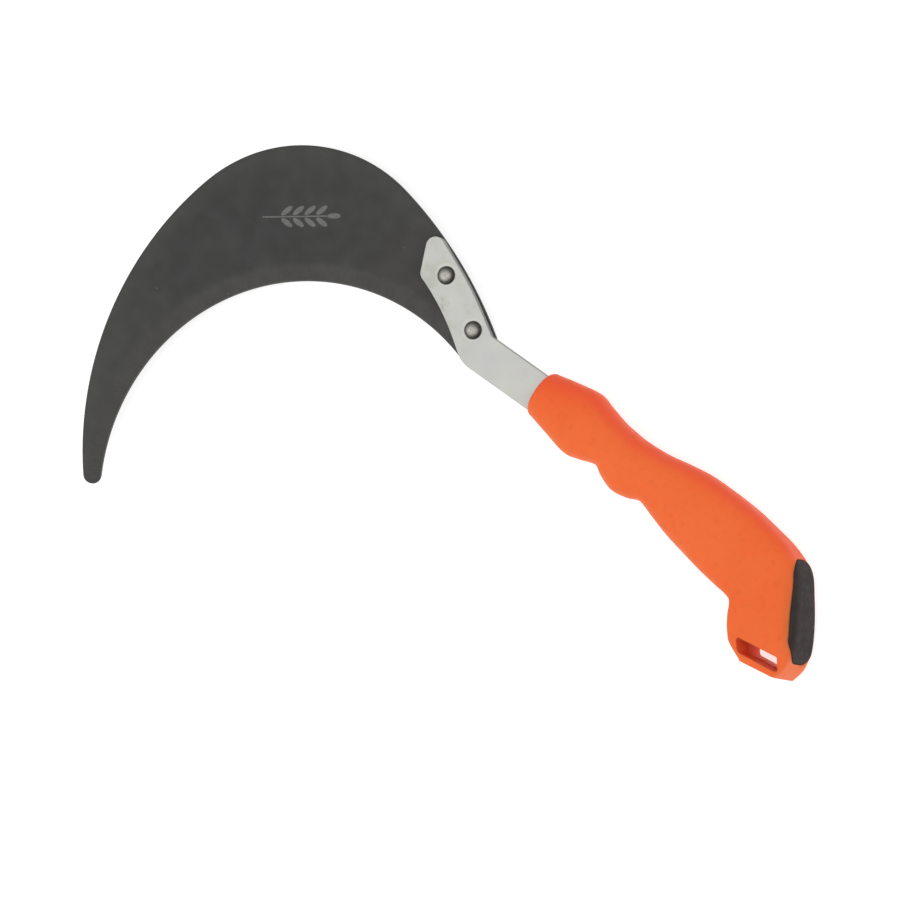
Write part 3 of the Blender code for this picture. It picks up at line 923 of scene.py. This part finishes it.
def coated_steel():
    """Dark baked coating, ground along the cutting edge, with a pale etched mark and handling marks."""
    look = Look("coated_steel", specular=0.35)
    radius = look.distance(EDGE_CENTRE)
    out = look.math("SUBTRACT", radius, EDGE_RADIUS)
    x = look.math("SUBTRACT", look.x, EDGE_CENTRE[0])
    y = look.math("SUBTRACT", look.y, EDGE_CENTRE[1])
    round_edge = look.times(look.math("ARCTAN2", y, x), EDGE_RADIUS)
    upper = look.fade(look.facing_up(), 0.0, 0.3)
    ground = look.times(look.fade(out, GRIND_WIDTH + 1.2, GRIND_WIDTH - 2.2), upper)
    bare = look.fade(out, 0.7, 0.1)
    mottle = look.noise(7.0, 3.0)
    coat = baked_coat(look, mottle)
    strokes = look.streaks(out, round_edge, 5.0, 0.35, 3.0)
    steel = look.blend(look.fade(strokes, 0.3, 0.7), GROUND_DARK, GROUND_LIGHT)
    colour = look.blend(ground, coat, steel)
    specks = look.times(look.fade(look.cells(6.5), 0.045, 0.03), look.fade(look.noise(17, 1.0), 0.5, 0.58))
    colour = look.blend(look.times(specks, 0.4), colour, SPECK_COLOUR)
    colour = look.blend(look.times(bare, 0.4), colour, BARE_EDGE)
    mark = look.times(wheat_ear(look), upper)
    etch = look.times(mark, look.fade(look.noise(0.7, 3.0), 0.25, 0.6, 0.6, 0.9))
    colour = look.blend(etch, colour, MARK_COLOUR)
    hair = look.streaks(look.x, look.y, 14.0, 0.3)
    roughness = look.fade(mottle, 0.3, 0.7, 0.46, 0.58)
    roughness = look.math("SUBTRACT", roughness, look.times(ground, 0.06))
    roughness = look.math("ADD", roughness, look.times(mark, 0.12))
    relief = look.bump(look.noise(0.35, 2.0), 0.012)
    relief = look.bump(look.times(strokes, ground), 0.02, relief)
    relief = look.bump(hair, 0.004, relief)
    relief = look.bump(mark, -0.02, relief)
    return look.finish(colour, roughness, relief)


def zinc_steel():
    """Dull zinc plate, clouded, with a stained paddle, darker sheared sides with painted shade, a painted
    highlight along the rolled edges, dirt and painted shade round the foot of each head, scuffs between
    the rivets and a pressed ring round each head."""
    look = Look("zinc_steel", metallic=0.7)
    rounding, edges = look.broken_edges(0.45)
    clouds = look.noise(9, 3.0)
    colour = look.blend(look.fade(clouds, 0.35, 0.65), ZINC_DARK, ZINC_LIGHT)
    stains = look.times(look.fade(look.noise(5.0, 3.0), 0.42, 0.68), look.fade(look.x, -26, -40))
    colour = look.blend(look.times(stains, 0.65), colour, ZINC_GREEN)
    # Sheared sides, darker, with painted shade on every face that turns sideways.
    sheared_and_shaded = look.fade(look.math("ABSOLUTE", look.facing_up()), 0.7, 0.4)
    colour = look.blend(sheared_and_shaded, colour, ZINC_SHEARED_AND_SHADE)
    # Painted highlight along the rolled edges, broken up by noise.
    edges = look.times(edges, look.fade(look.noise(1.6), 0.35, 0.6, 0.3, 0.9))
    colour = look.blend(look.times(edges, 0.6), colour, ZINC_HIGHLIGHT_AND_BURNISH)
    ring = 0.0
    for centre in (RIVET_FRONT, RIVET_REAR):
        distance = look.distance(centre)
        halo = look.times(look.fade(distance, 3.5, 3.9), look.fade(distance, 5.2, 4.3))
        colour = look.blend(look.times(halo, 0.2), colour, ZINC_HIGHLIGHT_AND_BURNISH)
        # Dirt and painted shade in the crease where the head meets the strap.
        colour = look.blend(look.fade(distance, 3.95, 3.6, 0.0, 0.9), colour, ZINC_DIRT_AND_SHADE)
        ring = look.math("MAXIMUM", ring, halo)
    along, across = look.turned_plane(SCUFF_CENTRE, SCUFF_BEARING)
    close = look.fade(look.distance(SCUFF_CENTRE), 5.0, 1.5)
    scuffs = look.times(look.fade(look.streaks(along, across, 3.2, 1.6, 3.0), 0.48, 0.72), close)
    colour = look.blend(look.times(scuffs, 0.55), colour, ZINC_SCUFF)
    pits = look.fade(look.cells(4.3), 0.07, 0.03)
    colour = look.blend(look.times(pits, 0.3), colour, ZINC_SCUFF)
    rolled = look.streaks(look.x, look.y, 20.0, 0.4)
    roughness = look.fade(clouds, 0.3, 0.7, 0.46, 0.58)
    roughness = look.math("SUBTRACT", roughness, look.times(edges, 0.1))
    relief = look.bump(rolled, 0.006, rounding)
    relief = look.bump(look.noise(0.5, 3.0), 0.012, relief)
    relief = look.bump(ring, -0.015, relief)
    relief = look.bump(scuffs, -0.02, relief)
    return look.finish(colour, roughness, relief)


def rivet_steel():
    """Plain steel, with painted shade and dirt in the foot of the dome and a painted highlight on its
    crown.
    """
    look = Look("rivet_steel", metallic=0.6)
    out = look.math("MINIMUM", look.distance(RIVET_FRONT), look.distance(RIVET_REAR))
    # Painted shading of the dome: shade and dirt at its foot, a painted highlight on its crown.
    dome_shade_and_highlight = look.fade(out, HEAD_RADIUS * 0.97, HEAD_RADIUS * 0.35)
    colour = look.blend(dome_shade_and_highlight, RIVET_FOOT_SHADE_AND_DIRT, RIVET_CROWN_HIGHLIGHT)
    punch = look.fade(out, 0.7, 0.35)
    colour = look.blend(look.times(punch, 0.2), colour, RIVET_STAIN)
    colour = look.blend(look.fade(look.noise(1.1, 3.0), 0.45, 0.75, 0.0, 0.45), colour, RIVET_STAIN)
    dents = look.bump(look.noise(1.3), 0.08)
    dents = look.bump(look.noise(0.25), 0.012, dents)
    dents = look.bump(punch, -0.02, dents)
    return look.finish(colour, look.fade(look.noise(0.8), 0.3, 0.7, 0.34, 0.5), dents)


def orange_plastic():
    """Satin moulded plastic that lets a little light in, with a fine eroded grain, a painted shade along
    its back, a faint parting line and a painted highlight along its edges."""
    look = Look("orange_plastic", specular=0.08)
    look.shader.inputs["Subsurface Weight"].default_value = 0.35
    look.shader.inputs["Subsurface Radius"].default_value = (1.0, 0.15, 0.05)
    look.shader.inputs["Subsurface Scale"].default_value = 3 * MM
    rounding, edges = look.broken_edges(0.7)
    colour = look.blend(look.fade(look.noise(30), 0.3, 0.7), ORANGE, ORANGE_LIGHT)
    colour = look.blend(look.fade(look.noise(3.0, 4.0), 0.5, 0.8, 0.0, 0.2), colour, ORANGE_DEEP)
    # Painted highlight along the edges.
    colour = look.blend(look.times(edges, 0.45), colour, ORANGE_EDGE_HIGHLIGHT)
    from_middle = look.math("ABSOLUTE", look.z)
    # Painted shade on the back of the handle, on the walls round its middle, short of the toe.
    side = look.times(
        look.fade(from_middle, 11.5, 6.5),
        look.fade(look.x, 140, 128),
        look.fade(look.y, -6, 4),
    )
    colour = look.blend(look.times(side, 0.85), colour, ORANGE_BACK_SHADE)
    seam = look.fade(from_middle, 0.16, 0.05)
    colour = look.blend(look.times(seam, 0.2), colour, ORANGE_DEEP)
    rubbed = look.streaks(look.x, look.y, 5.0, 1.5, 3.0)
    roughness = look.fade(rubbed, 0.35, 0.7, 0.44, 0.54)
    roughness = look.math("SUBTRACT", roughness, look.times(edges, 0.08))
    relief = look.bump(look.noise(0.45, 3.0), 0.02, rounding)
    relief = look.bump(look.noise(14, 1.0), 0.2, relief)
    relief = look.bump(seam, 0.03, relief)
    return look.finish(colour, roughness, relief)


def dark_rubber():
    """Matt overmoulded rubber with a fine pebble and a painted highlight along its edges."""
    look = Look("dark_rubber", specular=0.12)
    rounding, edges = look.broken_edges(0.6)
    colour = look.blend(look.fade(look.noise(6, 3.0), 0.3, 0.7), RUBBER_DARK, RUBBER_LIGHT)
    # Painted highlight along the edges.
    colour = look.blend(look.times(edges, 0.5), colour, RUBBER_EDGE_HIGHLIGHT)
    relief = look.bump(look.cells(0.55), 0.03, rounding)
    relief = look.bump(look.noise(0.3), 0.02, relief)
    return look.finish(colour, look.fade(look.noise(2.5), 0.3, 0.7, 0.62, 0.76), relief)


# Studio.


def make_floor():
    """A wide floor just under the tool, made white by its own glow."""
    bm = bmesh.new()
    bmesh.ops.create_grid(bm, x_segments=FLOOR_SEGMENTS, y_segments=FLOOR_SEGMENTS, size=FLOOR_HALF_WIDTH)
    mesh = bpy.data.meshes.new("floor")
    bm.to_mesh(mesh)
    bm.free()
    floor = new_object("floor", mesh)
    floor.location.z = CAD_BOX[0].z - FLOOR_DROP
    material = bpy.data.materials.new("floor_white")
    material.use_nodes = True
    shader = material.node_tree.nodes["Principled BSDF"]
    shader.inputs["Base Color"].default_value = FLOOR_BASE
    shader.inputs["Roughness"].default_value = FLOOR_ROUGHNESS
    shader.inputs["Specular IOR Level"].default_value = 0.0
    shader.inputs["Emission Color"].default_value = WHITE
    shader.inputs["Emission Strength"].default_value = FLOOR_GLOW
    mesh.materials.append(material)


def make_light(name, direction, power):
    """A square soft light that faces the tool from a direction."""
    data = bpy.data.lights.new(name, "AREA")
    data.shape = "SQUARE"
    data.size = LIGHT_SIZE
    data.energy = power
    light = new_object(name, data)
    towards = Vector(direction).normalized()
    light.location = towards * LIGHT_DISTANCE
    light.rotation_mode = "QUATERNION"
    light.rotation_quaternion = towards.to_track_quat("Z", "Y")


def make_studio():
    world = bpy.data.worlds.new("studio")
    world.use_nodes = True
    background = world.node_tree.nodes["Background"]
    background.inputs["Color"].default_value = WHITE
    background.inputs["Strength"].default_value = WORLD_LIGHT
    bpy.context.scene.world = world
    for name, direction, power in LIGHTS:
        make_light(name, direction, power)
    bpy.context.scene.view_settings.view_transform = "Standard"
    make_floor()


def make_camera():
    tilt, turn = math.radians(VIEW_TILT), math.radians(VIEW_TILT_BEARING)
    away = Vector((math.sin(tilt) * math.cos(turn), math.sin(tilt) * math.sin(turn), math.cos(tilt)))
    level = Vector((-math.sin(turn), math.cos(turn), 0.0))
    steep = level.cross(away)
    roll = math.radians(VIEW_ROLL_BEARING - VIEW_TILT_BEARING)
    right = steep * math.cos(roll) + level * math.sin(roll)
    up = away.cross(right)
    data = bpy.data.cameras.new("camera")
    data.sensor_width = SENSOR_WIDTH
    data.lens = data.sensor_width * VIEW_DISTANCE / VIEW_WIDTH
    data.clip_end = VIEW_END
    camera = new_object("camera", data)
    camera.rotation_mode = "QUATERNION"
    camera.rotation_quaternion = Matrix((right, up, away)).transposed().to_quaternion()
    camera.location = ORIGIN + Vector(VIEW_CENTRE) * MM + away * VIEW_DISTANCE
    bpy.context.scene.camera = camera


make_camera()
make_studio()
make_blade(coated_steel())
make_strap(zinc_steel())
make_rivet("rivet_dome_front", "rivet_front", RIVET_FRONT, rivet_steel())
make_rivet("rivet_dome_rear", "rivet_rear", RIVET_REAR, rivet_steel())
make_grip(orange_plastic())
make_pad(dark_rubber())
